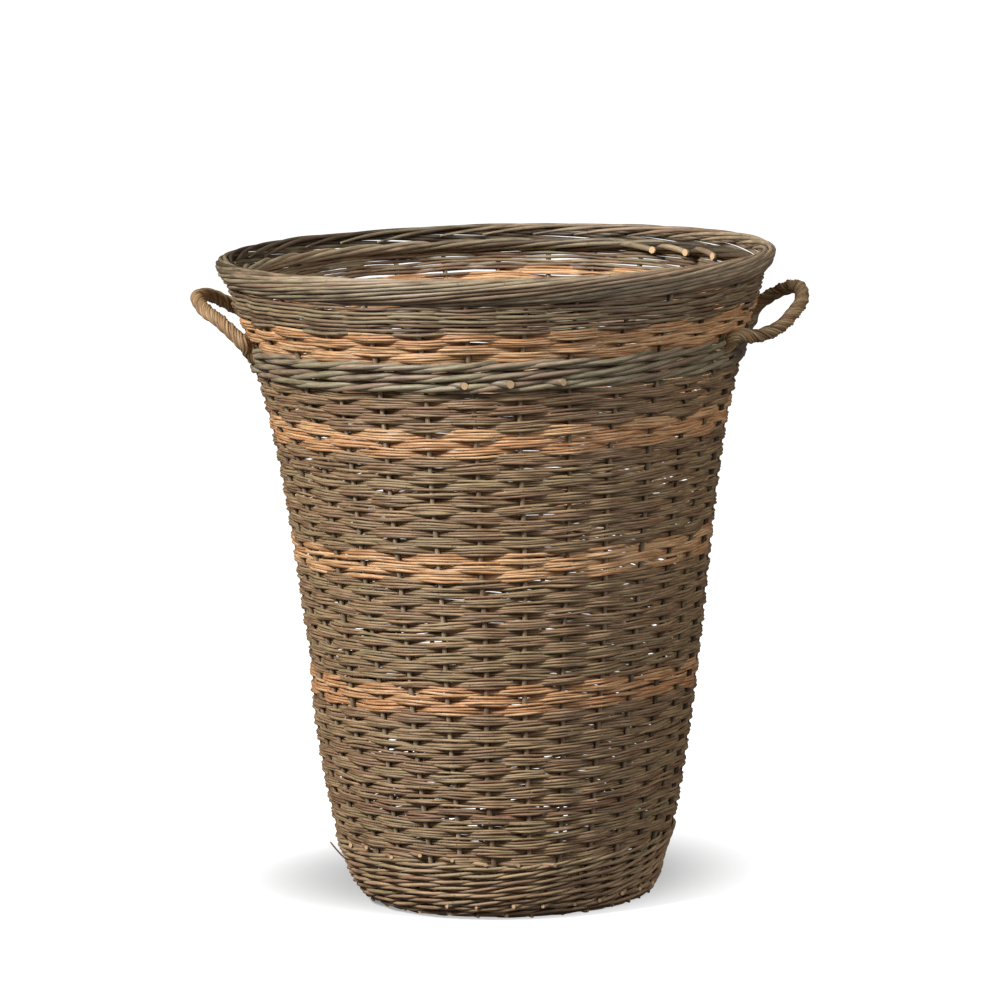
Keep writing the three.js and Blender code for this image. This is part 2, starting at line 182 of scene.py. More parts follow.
class Tree:
    """Node tree of a material that is being built."""

    def __init__(self, name: str) -> None:
        """Starts an empty material with an output node.

        Args:
            name: the material's name.
        """
        self.material = bpy.data.materials.new(name)
        self.material.use_nodes = True
        self.nodes = self.material.node_tree.nodes
        self.nodes.clear()
        self.output = self.add("ShaderNodeOutputMaterial", {}, {})

    def add(self, kind: str, settings: dict, inputs: dict) -> bpy.types.Node:
        """Adds one node.

        Args:
            kind: the node's type.
            settings: its properties, set before its sockets.
            inputs: a value, a socket or a Value for each input, by name or number.

        Returns:
            The node.
        """
        node = self.nodes.new(kind)
        for name, setting in settings.items():
            setattr(node, name, setting)
        for name, source in inputs.items():
            socket = source.socket if isinstance(source, Value) else source
            if isinstance(socket, bpy.types.NodeSocket):
                self.material.node_tree.links.new(socket, node.inputs[name])
            else:
                node.inputs[name].default_value = socket
        return node

    def mix(self, share: object, first: object, second: object) -> bpy.types.NodeSocket:
        """Mixes two colours.

        Args:
            share: share of the second one.
            first: a socket or three numbers.
            second: the same.

        Returns:
            The mixed colour.
        """
        colours = [(*c, 1.0) if isinstance(c, tuple) else c for c in (first, second)]
        node = self.add("ShaderNodeMix", {"data_type": "RGBA"}, {0: share, 6: colours[0], 7: colours[1]})
        return node.outputs[2]

    def scale(self, colour: bpy.types.NodeSocket, factor: "Value") -> bpy.types.NodeSocket:
        """Colour made lighter or darker by a factor."""
        settings = {"operation": "SCALE"}
        return self.add("ShaderNodeVectorMath", settings, {0: colour, "Scale": factor}).outputs[0]

    def stretched(self, vector: bpy.types.NodeSocket, scales: Colour) -> bpy.types.NodeSocket:
        """Vector with each of its three lengths scaled."""
        settings = {"operation": "MULTIPLY"}
        return self.add("ShaderNodeVectorMath", settings, {0: vector, 1: scales}).outputs[0]

    def noise(self, vector: bpy.types.NodeSocket, scales: Colour, detail: float = 3.0) -> "Value":
        """Noise with its own scale along each of the three lengths of a vector."""
        inputs = {"Vector": self.stretched(vector, scales), "Scale": 1.0, "Detail": detail}
        return Value(self, self.add("ShaderNodeTexNoise", {}, inputs).outputs["Fac"])

    def attribute(self, name: str) -> bpy.types.NodeSocket:
        """Vector that the mesh stores under a name."""
        return self.add("ShaderNodeAttribute", {"attribute_name": name}, {}).outputs["Vector"]

    def parts(self, vector: bpy.types.NodeSocket) -> list["Value"]:
        """The three numbers of a vector."""
        node = self.add("ShaderNodeSeparateXYZ", {}, {0: vector})
        return [Value(self, output) for output in node.outputs]

    def surface(self, colour: object, roughness: object, height: "Value", depth: float) -> bpy.types.Material:
        """Ends the tree in a plain surface with relief.

        Args:
            colour: base colour, as a socket.
            roughness: a number or a value.
            height: relief between 0 and 1.
            depth: height of the relief in metres.

        Returns:
            The finished material.
        """
        bump = self.add("ShaderNodeBump", {}, {"Height": height, "Distance": depth, "Strength": 1.0})
        inputs = {"Base Color": colour, "Roughness": roughness, "Normal": bump.outputs[0]}
        shader = self.add("ShaderNodeBsdfPrincipled", {}, inputs)
        self.material.node_tree.links.new(shader.outputs[0], self.output.inputs[0])
        return self.material


class Finishes:
    """The basket's materials, each made once."""

    STRAIGHT = "straight"
    ROD = "rod"
    # Scales of the noises along a rod and the two ways across it
    STREAKS: Colour = (55.0, 900.0, 900.0)
    MOTTLE: Colour = (30.0, 160.0, 160.0)
    FINE: Colour = (420.0, 1500.0, 1500.0)
    GRAIN: Colour = (900.0, 900.0, 900.0)
    # How deep a rod's colour is: the shares of its own tone and of the mottle, and what is added
    TONE_SHARE = 0.6
    MOTTLE_SHARE = 1.8
    DEPTH_ADDED = 0.19
    # Patches of blush and moss: the share of the mottle in them, how soft their edges are, their strength
    PATCH_MOTTLE = 0.5
    PATCH_EDGE = 0.08
    PATCH_STRENGTH = 0.6
    # Scars of buds: turn from one to the next, size of the full scar in the soft one, and strength
    BUD_TURN = 2.4
    SCAR_CORE = 0.35
    SCAR_STRENGTH = 0.65
    FINE_SHADE = 0.5
    # Tones over which a rod is darkened, chiefly painted shade on rods with a tone below 0, and the shade of
    # the darkest
    PAINTED_SHADE_TONES: Pair = (-1.0, 0.1)
    PAINTED_SHADE_DARKEST = 0.4
    STREAK_ROUGHNESS = 0.3
    SCAR_ROUGHNESS = 0.15
    # Shares of the streaks, the fine grain and the scars in the relief
    RELIEF_SHARES: Colour = (0.5, 0.2, 0.6)
    BARK_RELIEF = 0.35 * MM
    CUT_RELIEF = 0.2 * MM
    CUT_ROUGHNESS = 0.75
    CUT_DARK: Colour = (0.5, 0.3, 0.15)
    CUT_PALE: Colour = (0.84, 0.6, 0.35)

    def __init__(self) -> None:
        """Starts with the pale wood of cut rod ends."""
        self.cut_wood = self._cut_wood()

    @cache
    def bark(self, bark: Bark) -> bpy.types.Material:
        """Makes bark with a tone for each rod, with painted shade in it for some, streaks along it, and scars
        where buds sat in a spiral.

        Args:
            bark: the kind of bark.

        Returns:
            Its material.
        """
        tree = Tree(bark.name)
        straight = tree.attribute(self.STRAIGHT)
        tone, warmth, girth = tree.parts(tree.attribute(self.ROD))
        along, across, up = tree.parts(straight)
        streaks = tree.noise(straight, self.STREAKS)
        mottle = tree.noise(straight, self.MOTTLE)
        fine = tree.noise(straight, self.FINE, 1.0)
        bud = (along / bark.scar_spacing).by("FLOOR")
        bud_angle = bud * self.BUD_TURN
        behind = along - (bud + 0.5) * bark.scar_spacing
        spot = tree.add("ShaderNodeCombineXYZ", {}, {
            0: behind,
            1: across - bud_angle.by("COSINE") * girth,
            2: up - bud_angle.by("SINE") * girth,
        })
        away = tree.add("ShaderNodeVectorMath", {"operation": "LENGTH"}, {0: spot.outputs[0]})
        scar = 1.0 - Value(tree, away.outputs["Value"]).ramp(self.SCAR_CORE * bark.scar_size, bark.scar_size)
        # tone is each rod's own random tone, and below 0 it also carries painted shade, which pulls the
        # colour towards the deep one
        depth = tone * self.TONE_SHARE + (mottle - 0.5) * self.MOTTLE_SHARE + self.DEPTH_ADDED
        colour = tree.mix(depth, bark.deep, bark.pale)
        patch = (mottle - 0.5) * self.PATCH_MOTTLE
        full = 1 + self.PATCH_EDGE
        blushing = (warmth + patch).ramp(1 - bark.blush_share, full - bark.blush_share)
        mossing = (1 - warmth + patch).ramp(1 - bark.moss_share, full - bark.moss_share)
        colour = tree.mix(blushing * self.PATCH_STRENGTH, colour, bark.blush)
        colour = tree.mix(mossing * self.PATCH_STRENGTH, colour, bark.moss)
        colour = tree.mix(scar * self.SCAR_STRENGTH, colour, bark.deep)
        shade = 1.0 + (streaks - 0.5) * (2 * bark.streak_depth) + (fine - 0.5) * self.FINE_SHADE
        # Painted shade: rods with a tone below 0, the border's stakes at the back, are darkened further here
        shade = shade * (tone.ramp(*self.PAINTED_SHADE_TONES) * (1 - self.PAINTED_SHADE_DARKEST) + self.PAINTED_SHADE_DARKEST)
        colour = tree.scale(colour, shade)
        roughness = bark.roughness + (streaks - 0.5) * self.STREAK_ROUGHNESS + scar * self.SCAR_ROUGHNESS
        of_streaks, of_fine, of_scars = self.RELIEF_SHARES
        height = streaks * of_streaks + fine * of_fine + scar * of_scars
        return tree.surface(colour, roughness, height, self.BARK_RELIEF)

    def _cut_wood(self) -> bpy.types.Material:
        """Makes the pale wood of a slanting cut, a little weathered.

        Returns:
            Its material.
        """
        tree = Tree("cut_wood")
        place = tree.add("ShaderNodeTexCoord", {}, {}).outputs["Object"]
        grain = tree.noise(place, self.GRAIN, 2.0)
        colour = tree.mix(grain, self.CUT_DARK, self.CUT_PALE)
        return tree.surface(colour, self.CUT_ROUGHNESS, grain, self.CUT_RELIEF)


class Wander:
    """Smooth seeded wandering along a length, as a hand-laid rod has."""

    TERMS = 5
    RATES = (0.5, 1.7)

    def __init__(self, rng: np.random.Generator, amplitude: float, wavelength: float) -> None:
        """Draws the waves.

        Args:
            rng: seeded source of the draws.
            amplitude: about the largest distance from nothing.
            wavelength: usual length of a wave.
        """
        self.amplitude = amplitude / math.sqrt(self.TERMS / 2)
        self.rates = TURN / wavelength * rng.uniform(*self.RATES, self.TERMS)
        self.starts = rng.uniform(0, TURN, self.TERMS)

    def __call__(self, place: Points) -> Points:
        """Wandering at each place along the length."""
        waves = np.sin(np.multiply.outer(place, self.rates) + self.starts)
        return self.amplitude * waves.sum(axis=-1)


class Rods:
    """Willow rods that are laid one by one and then made into one mesh."""

    CORNERS = 8
    CAP_CORNERS = 3
    TONE_SPREAD = 2.2
    PATTERN_LENGTH = 5
    WELD = 1e-6

    def __init__(self, name: str) -> None:
        """Starts without rods.

        Args:
            name: the name of the mesh that they become.
        """
        self.name = name
        self.lines: list[Points] = []
        self.radii: list[Points] = []
        self.looks: list[tuple[float, float, float]] = []

    def lay(self, line: Points, radii: Points, rng: np.random.Generator, darker: float = 0.0) -> None:
        """Lays one rod.

        Args:
            line: its middle line, one point a row.
            radii: its radius at each point.
            rng: seeded source of its tone, its warmth and where its bark's pattern starts.
            darker: how much darker its tone is than drawn, which is painted shade on the border's stakes at
                the back.
        """
        self.lines.append(np.asarray(line, float))
        self.radii.append(np.broadcast_to(radii, len(line)).astype(float))
        tone = rng.beta(self.TONE_SPREAD, self.TONE_SPREAD) - darker
        self.looks.append((tone, rng.random(), rng.uniform(0, self.PATTERN_LENGTH)))

    def make(self, bark: Bark, finishes: Finishes, *nodes: str) -> bpy.types.Object:
        """Makes the mesh, dresses it and puts it in the place of its solids.

        Args:
            bark: look of the rods.
            finishes: the basket's materials.
            nodes: names of the solids that the rods stand for.

        Returns:
            The finished piece.
        """
        piece = self._mesh()
        self._store_attributes(piece.data)
        piece.data.materials.clear()
        piece.data.materials.append(finishes.bark(bark))
        piece.data.materials.append(finishes.cut_wood)
        corners = np.zeros(len(piece.data.polygons), int)
        piece.data.polygons.foreach_get("loop_total", corners)
        is_cap = corners == self.CAP_CORNERS
        piece.data.polygons.foreach_set("material_index", is_cap.astype(int))
        piece.data.polygons.foreach_set("use_smooth", ~is_cap)
        bpy.ops.object.mode_set(mode="EDIT")
        bpy.ops.mesh.select_all(action="SELECT")
        bpy.ops.mesh.remove_doubles(threshold=self.WELD)
        bpy.ops.mesh.normals_make_consistent(inside=False)
        bpy.ops.object.mode_set(mode="OBJECT")
        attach(piece, BODY)
        if nodes:
            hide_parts(*nodes)
        LOG.info("%s: %d rods, %d faces", self.name, len(self.lines), len(piece.data.polygons))
        return piece

    def _mesh(self) -> bpy.types.Object:
        """Makes a round tube along each rod, with flat ends.

        Returns:
            The tubes, as one mesh.
        """
        bpy.ops.object.select_all(action="DESELECT")
        bpy.ops.curve.primitive_nurbs_path_add()
        piece = bpy.context.object
        piece.name = self.name
        curve = piece.data
        curve.name = self.name
        curve.splines.clear()
        for line, radii in zip(self.lines, self.radii):
            spline = curve.splines.new("POLY")
            spline.points.add(len(line) - 1)
            spline.points.foreach_set("co", np.c_[line, np.ones(len(line))].ravel())
            spline.points.foreach_set("radius", radii)
            spline.use_smooth = True
        curve.dimensions = "3D"
        curve.twist_mode = "MINIMUM"
        curve.bevel_depth = 1.0
        curve.bevel_resolution = self.CORNERS // 2 - 2
        curve.use_fill_caps = True
        bpy.ops.object.convert(target="MESH")
        return bpy.context.object

    def _store_attributes(self, mesh: bpy.types.Mesh) -> None:
        """Stores where each vertex would be if its rod were straight, and its rod's tone, with any painted
        shade in it, warmth and girth.

        The caps' vertices come first, two rings a rod, and then each rod's rings in order.

        Args:
            mesh: the mesh that keeps them.
        """
        turned = np.arange(self.CORNERS) / self.CORNERS * TURN
        straight, looks = [], []
        for line, radii, (tone, warmth, start) in zip(self.lines, self.radii, self.looks):
            place = np.empty((len(line), self.CORNERS, 3))
            place[..., 0] = (start + lengths(line))[:, None]
            place[..., 1] = radii[:, None] * np.cos(turned)
            place[..., 2] = radii[:, None] * np.sin(turned)
            look = np.empty_like(place)
            look[..., :2] = tone, warmth
            look[..., 2] = radii[:, None]
            straight.append(place.reshape(-1, 3))
            looks.append(look.reshape(-1, 3))
        caps = np.zeros((2 * self.CORNERS * len(self.lines), 3))
        for name, rows in ((Finishes.STRAIGHT, straight), (Finishes.ROD, looks)):
            values = np.concatenate([caps, *rows])
            if len(values) != len(mesh.vertices):
                raise RuntimeError(f"{self.name}: {len(values)} values for {len(mesh.vertices)} vertices")
            mesh.attributes.new(name, "FLOAT_VECTOR", "POINT").data.foreach_set("vector", values.ravel())


def smooth_line(corners: list, samples: int = 24) -> Points:
    """Smooth curve through points.

    Args:
        corners: the points, of two or three numbers each.
        samples: points of the curve for each stretch between two corners.

    Returns:
        The curve's points, one a row.
    """
    points = np.asarray(corners, float)
    ends = 2 * points[[0, -1]] - points[[1, -2]]
    points = np.concatenate([ends[:1], points, ends[1:]])
    share = np.linspace(0, 1, samples, endpoint=False)[:, None]
    stretches = []
    for before, start, end, after in zip(points, points[1:], points[2:], points[3:]):
        leave, arrive = (end - before) / 2, (after - start) / 2
        stretches.append(
            (2 * share**3 - 3 * share**2 + 1) * start
            + (share**3 - 2 * share**2 + share) * leave
            + (3 * share**2 - 2 * share**3) * end
            + (share**3 - share**2) * arrive
        )
    return np.concatenate([*stretches, points[-2:-1]])


def resample(line: Points, count: int) -> Points:
    """Spaces the points of a line evenly along it.

    Args:
        line: its points, one a row.
        count: how many points it gets.

    Returns:
        The new points, one a row.
    """
    reached = lengths(line)
    places = np.linspace(0, reached[-1], count)
    return np.stack([np.interp(places, reached, column) for column in line.T], axis=1)


@dataclass
class Wall:
    """Middle line of the stakes from the base's edge to the rim, turned about the basket's axis."""

    stakes: int = 31
    first_stake: float = math.radians(-3.1)
    stake_radius: float = 3.25 * MM
    start: Pair = (0.1615, 0.0076)
    bend_start: Pair = (0.165, 0.0076)
    upset: Pair = (0.203, 0.042)
    bend_points: int = 40
    side: tuple[Pair, ...] = (
        (0.2172, 0.101), (0.2492, 0.315), (0.271, 0.489), (0.2906, 0.617), (0.3206, 0.741), (0.3335, 0.777),
        (0.344, 0.815),
    )
    lean: float = 0.035
    lean_wavelength: float = 0.5
    # Distances from the base's edge over which the leaning and the swelling come in
    lean_fade: float = 0.1
    swell_fade: float = 0.05
    # How far the left and the right side stand out past a round basket, by height
    swell_heights: tuple[float, ...] = (0.0, 0.03, 0.06, 0.1, 0.17, 0.25, 0.33)
    left_swell: tuple[float, ...] = (2 * MM, 3 * MM, 5 * MM, 8 * MM, 10 * MM, 8 * MM, 0.0)
    right_swell: tuple[float, ...] = (-7 * MM, -9 * MM, -9 * MM, -4 * MM, -1 * MM, 0.0, 0.0)
    seed: int = 11
    line: Points = field(init=False)
    reached: Points = field(init=False)
    normals: Points = field(init=False)
    leans: list[Wander] = field(init=False)

    def __post_init__(self) -> None:
        """Works out the line, its length and its outward normals, and how each stake leans."""
        side = smooth_line([self.upset, *self.side])
        first = side[1] - side[0]
        corner = (self.upset[0] - (self.upset[1] - self.start[1]) * first[0] / first[1], self.start[1])
        share = np.linspace(0, 1, self.bend_points)[:, None]
        bend = (
            (1 - share) ** 2 * np.array(self.bend_start)
            + 2 * share * (1 - share) * np.array(corner)
            + share**2 * np.array(self.upset)
        )
        self.line = np.concatenate([[self.start], bend, side[1:]])
        self.reached = lengths(self.line)
        ahead = np.gradient(self.line, self.reached, axis=0)
        ahead /= np.linalg.norm(ahead, axis=1)[:, None]
        self.normals = np.stack([ahead[:, 1], -ahead[:, 0]], axis=1)
        rng = np.random.default_rng(self.seed)
        self.leans = [Wander(rng, self.lean, self.lean_wavelength) for _ in range(self.stakes)]

    @property
    def length(self) -> float:
        """Length of the line from the base's edge to the rim."""
        return float(self.reached[-1])

    @property
    def space(self) -> float:
        """Angle between two stakes."""
        return TURN / self.stakes

    def distance_at(self, height: float) -> float:
        """Distance along the line at which it reaches a height."""
        return float(np.interp(height, self.line[:, 1], self.reached))

    def section(self, distance: Points, offset: Points) -> tuple[Points, Points]:
        """Works out where a point beside the line is.

        Args:
            distance: distance along the line.
            offset: distance outwards from it.

        Returns:
            The point's radius and its height.
        """
        points = [np.interp(distance, self.reached, column) for column in self.line.T]
        normal = [np.interp(distance, self.reached, column) for column in self.normals.T]
        return points[0] + offset * normal[0], points[1] + offset * normal[1]

    def lean_at(self, stake: Points, distance: Points) -> Points:
        """Works out how far the leaning of the two nearest stakes shifts the work round.

        Args:
            stake: place round the basket, counted in stakes.
            distance: distance up the wall.

        Returns:
            The shift, in spaces.
        """
        below = np.floor(stake).astype(int)
        share = stake - below
        held = np.clip(distance, 0, self.length)
        table = np.array([lean(held) for lean in self.leans])
        fade = np.clip(held / self.lean_fade, 0, 1)
        columns = np.arange(len(held))
        first, second = table[below % self.stakes, columns], table[(below + 1) % self.stakes, columns]
        return fade * ((1 - share) * first + share * second)

    def place(self, stake: Points, distance: Points, offset: Points, rod: Points) -> Points:
        """Points of a rod on the wall.

        Args:
            stake: place round the basket, counted in stakes from the first one.
            distance: distance up the wall.
            offset: distance outwards from the stakes' middle line.
            rod: radius of the rod, which keeps it off the floor.

        Returns:
            The points, one a row.
        """
        stake, distance, offset = np.broadcast_arrays(stake, distance, offset)
        radius, height = self.section(distance, offset)
        angle = self.first_stake + (stake + self.lean_at(stake, distance)) * self.space
        radius = radius + self._swell(angle, height) * np.clip(distance / self.swell_fade, 0, 1)
        return around(radius, angle, np.maximum(height, rod))

    def _swell(self, angle: Points, height: Points) -> Points:
        """Works out how far the wall stands out past a round one.

        Args:
            angle: angle round the basket's axis.
            height: height above the floor.

        Returns:
            The distance at each place.
        """
        sides = ((-1, self.left_swell), (1, self.right_swell))
        return sum(
            np.interp(height, self.swell_heights, swell) * np.clip(side * np.cos(angle), 0, 1) ** 2
            for side, swell in sides
        )


@dataclass(frozen=True)
class Band:
    """One band of weaving: its node, the height of its top, its work and its rods."""

    node: str
    top: float
    row: float
    work: Work
    bark: Bark
    butt: float
    tip: float
    together: int = 4


@dataclass(frozen=True)
class Job:
    """Band that is worked, with the rods laid in it and the seeded source of what differs from rod to rod."""

    band: Band
    rods: Rods
    rng: np.random.Generator


@dataclass
class Spiral:
    """Weaving that climbs one row in each turn, from the floor to the rim."""

    # Points that a rod gets in each space
    POINTS = 5
    # Nearest that a rod's end comes to one of its points, as a share of the gap between two
    END_GAP = 0.2
    # Waves of the unevenness: size, waves in a turn, waves up the wall, start
    WAVES = ((1.0, 3, 19, 0.0), (1.0, 5, -31, 2.0), (0.8, 9, 47, 4.0), (0.6, 14, -67, 1.0))

    wall: Wall
    finishes: Finishes
    bands: tuple[Band, ...]
    butts: tuple["Butts", ...]
    seed: int = 100
    first_step_stake: int = -7
    half_turn: int = 15
    tip_steps: int = 8
    unevenness: float = 0.65 * MM
    back_rise: float = 12 * MM
    front_dip: float = 12 * MM
    # Slewing, with lengths of a rod in steps and heights as shares of its row
    rod_life: float = 30.0
    overlap: float = 2.0
    butt_length: float = 0.3
    begin_spread: float = 1.5
    crossing_spread: float = 0.45
    outer_spread: float = 0.48
    inner_spread: float = 0.58
    middle_proud: float = 1.9 * MM
    proud_shares: Pair = (0.3, 1.0)
    clearance: float = -0.8 * MM
    settle: float = 1.6 * MM
    settle_swing: float = 0.6
    kink: float = 0.97
    slew_radius: float = 0.27
    slew_girths: Pair = (0.9, 1.1)
    slew_wanders: tuple[Pair, Pair] = ((0.5 * MM, 0.13), (0.4 * MM, 0.12))
    # Levels of a new rod and a spent one in the bundle, of the ranks between, and when a rod changes rank
    end_levels: Pair = (-1.1, 1.15)
    rank_level: float = 0.95
    rank_change: Pair = (0.95, 1.3)
    # Waling, with how far out a rod stands at phases of its stroke, where 1 is just clear of a stake
    wale_rise: float = 0.31
    wale_begins: Pair = (0.5, 2.0)
    wale_lives: Pair = (22, 34)
    wale_tail: float = 0.2
    wale_phases: tuple[float, ...] = (0.0, 0.5, 1.0, 1.5, 1.8, 2.0, 2.5, 3.0)
    wale_reaches: tuple[float, ...] = (0.0, 0.95, 1.08, 1.12, 0.75, 0.0, -0.95, 0.0)
    wale_radius: float = 0.25
    wale_girths: Pair = (0.92, 1.08)
    wale_thinnest: float = 0.35
    wale_drift: float = 0.6
    wale_wanders: tuple[Pair, Pair] = ((0.8 * MM, 0.2), (0.4 * MM, 0.15))
    joint_steps: list[float] = field(init=False)
    joint_distances: list[float] = field(init=False)

    def __post_init__(self) -> None:
        """Works out at which step and distance each band ends on the line between the rows."""
        self.joint_steps, self.joint_distances = [0.0], [0.0]
        for band in self.bands:
            distance = self.wall.distance_at(band.top)
            turns = max(1, round((distance - self.joint_distances[-1]) / band.row))
            self.joint_steps.append(self.joint_steps[-1] + turns * self.wall.stakes)
            self.joint_distances.append(distance)

    def row_line(self, step: Points) -> Points:
        """Distance up the wall of the line between two rows."""
        return np.interp(step, self.joint_steps, self.joint_distances)

    def limits(self, index: int) -> tuple[float, float]:
        """Finds where a band begins and ends.

        Args:
            index: its number from the floor up.

        Returns:
            Its first and its last step.
        """
        first = self.tip_steps if index == 0 else self.joint_steps[index] + self.half_turn
        last = self.joint_steps[index + 1]
        is_last = index == len(self.bands) - 1
        return first, last + (self.wall.stakes - self.tip_steps if is_last else self.half_turn)

    def row(self, step: Points) -> tuple[Points, Points]:
        """Middle and height of the row that is being worked at a step."""
        lower, upper = (self._swayed(step, self.row_line(step - back)) for back in (self.wall.stakes, 0))
        return (lower + upper) / 2, upper - lower

    def _swayed(self, step: Points, distance: Points) -> Points:
        """Dips a row line at the front over the foot, and raises it at the back below the rim.

        Args:
            step: steps along it.
            distance: its distance up an even wall.

        Returns:
            Its distance up this one.
        """
        towards_back = self._towards_back(step)
        floor, foot, band, siding, rim = (self.joint_distances[place] for place in (0, 1, 2, -2, -1))
        rise = self.back_rise * np.interp(distance, [foot, siding, rim], [0, 1, 0.5])
        dip = self.front_dip * np.interp(distance, [floor, foot, band], [0, 1, 0])
        return distance + rise * np.clip(towards_back, 0, 1) ** 2 - dip * np.clip(-towards_back, 0, 1) ** 2

    def _towards_back(self, step: Points) -> Points:
        """Sine of the angle round the basket, which is 1 at the back and -1 at the front."""
        return np.sin(self.wall.first_stake + (step + self.first_step_stake) * self.wall.space)

    def steps(self, first: float, last: float) -> Points:
        """Chooses the steps at which a rod gets a point, with one in front of each stake.

        Args:
            first: step of its one end.
            last: step of its other end.

        Returns:
            The steps.
        """
        inner = np.arange(math.ceil(first * self.POINTS), math.floor(last * self.POINTS) + 1) / self.POINTS
        ends = [e for e in (first, last) if abs(e * self.POINTS - round(e * self.POINTS)) > self.END_GAP]
        return np.sort(np.concatenate([inner, ends]))

    def build(self) -> None:
        """Builds the bands, from the floor up."""
        for index, band in enumerate(self.bands):
            job = Job(band, Rods(f"woven_{band.node}"), np.random.default_rng(self.seed + index))
            work = self._slew if band.work is Work.SLEW else self._wale
            work(job, *self.limits(index))
            for butts in self.butts:
                if butts.node == band.node:
                    butts.lay(self.wall, job.rods, job.rng)
            if index == 0:
                job.rods.lay(smooth_line(list(TWIG), 4), TWIG_RADIUS, job.rng)
            job.rods.make(band.bark, self.finishes, band.node)

    def _drift(self, step: Points, distance: Points) -> Points:
        """Works out the unevenness that neighbouring rows share.

        Args:
            step: steps along a row.
            distance: its distance up the wall.

        Returns:
            How far up the wall it is moved.
        """
        angle = step * self.wall.space
        waves = (size * np.sin(turns * angle + up * distance + t) for size, turns, up, t in self.WAVES)
        return self.unevenness * sum(waves)

    def _slew(self, job: Job, first: float, last: float) -> None:
        """Lays several rods at a time. Each comes in low behind a stake, and its tip ends behind another.

        Args:
            job: the band and its rods.
            first: the band's first step.
            last: its last step.
        """
        together = job.band.together
        start = first - self.rod_life * (1 - 0.5 / together)
        while start < last:
            moved = start + job.rng.uniform(-self.begin_spread, self.begin_spread)
            begin = 2 * round(moved / 2) - self.butt_length
            end = begin + self.rod_life + self.overlap + 2 * self.butt_length
            step = self.steps(max(begin, first), min(end, last))
            if len(step) > self.POINTS:
                self._slewed_rod(job, step, begin)
            start += self.rod_life / together

    def _slewed_rod(self, job: Job, step: Points, begin: float) -> None:
        """Lays one rod of the bundle, which climbs from its bottom to its top as others come in below.

        Args:
            job: the band and its rods.
            step: steps at which the rod gets a point.
            begin: step at which it would begin if its band had no edge.
        """
        band, rng = job.band, job.rng
        middle, height = self.row(step)
        used = np.clip((step - begin) / self.rod_life, 0, 1)
        level = self._level(used * band.together, band.together)
        radius = rng.uniform(*self.slew_girths) * (band.butt + (band.tip - band.butt) * used)
        crest = np.arcsin(self.kink * np.cos(math.pi * step)) / math.asin(self.kink)
        between = 1 - np.abs(crest)
        side_spread = np.where(crest > 0, self.inner_spread, self.outer_spread)
        spread = self.crossing_spread + (side_spread - self.crossing_spread) * np.abs(crest)
        arc = step * self.wall.space * self.slew_radius
        up, out = (Wander(rng, *wander)(arc) for wander in self.slew_wanders)
        settled = self.settle * (1 - self.settle_swing * self._towards_back(step))
        up = up + self._drift(step, middle) - settled * (1 + crest) / 2
        front = -1 if band.together == 2 else 0
        proud = between * np.clip(1 - np.abs(level - front), 0, 1) * self.middle_proud
        proud = proud * rng.uniform(*self.proud_shares)
        reach = self.wall.stake_radius + radius + self.clearance
        offset = -crest * reach + out + proud
        stake = step + self.first_step_stake
        line = self.wall.place(stake, middle + level * spread * height + up, offset, radius)
        job.rods.lay(line, radius, rng)

    def _level(self, used: Points, together: int) -> Points:
        """Works out how high a rod lies in its bundle, which it climbs as others come in below.

        Args:
            used: how far along the rod, from 0 to the number of rods in the bundle.
            together: that number.

        Returns:
            Its level at each place, about -1 at the bottom and 1 at the top.
        """
        places, levels = [0.0], [self.end_levels[0]]
        ranks = np.linspace(-self.rank_level, self.rank_level, together)
        for number, (lower, upper) in enumerate(zip(ranks, ranks[1:])):
            places += [number + change for change in self.rank_change]
            levels += [lower, upper]
        return np.interp(used, [*places, together], [*levels, self.end_levels[1]])

    def _wale(self, job: Job, first: float, last: float) -> None:
        """Lays three rods in turn. Each comes out low, rises over two stakes and goes in above the other two.

        Args:
            job: the band and its rods.
            first: the band's first step.
            last: its last step.
        """
        for turn in range(3):
            begin = first - job.rng.uniform(*self.wale_begins)
            while begin < last:
                life = 3 * round(job.rng.uniform(*self.wale_lives) / 3)
                behind = turn + 3 * round((begin + life - turn) / 3) + self.wale_tail
                step = self.steps(begin, min(behind, last))
                if len(step) > self.POINTS:
                    self._waled_rod(job, step, turn, step[-1] - begin)
                begin = behind - 2 * self.wale_tail

    def _waled_rod(self, job: Job, step: Points, turn: int, life: float) -> None:
        """Lays one rod of a wale.

        Args:
            job: the band and its rods.
            step: steps at which the rod gets a point.
            turn: its number among the three, which says which stakes it passes behind.
            life: steps from its butt to its tip.
        """
        band, rng = job.band, job.rng
        middle, height = self.row(step)
        full = np.clip(height / band.row, self.wale_thinnest, 1)
        used = (step - step[0]) / max(life, 1)
        radius = full * rng.uniform(*self.wale_girths) * (band.butt + (band.tip - band.butt) * used)
        phase = np.mod(step - turn - 0.5, 3)
        rise = np.where(phase < 2, phase / 2, 3 - phase) * 2 - 1
        arc = step * self.wall.space * self.wale_radius
        wander, out = (Wander(rng, *wander)(arc) for wander in self.wale_wanders)
        up = self.wale_rise * height * np.sin(rise * math.pi / 2)
        up = up + wander + self._drift(step, middle) * self.wale_drift
        reach = self.wall.stake_radius + radius
        offset = np.interp(phase, self.wale_phases, self.wale_reaches) * reach + out
        job.rods.lay(self.wall.place(step + self.first_step_stake, middle + up, offset, radius), radius, rng)


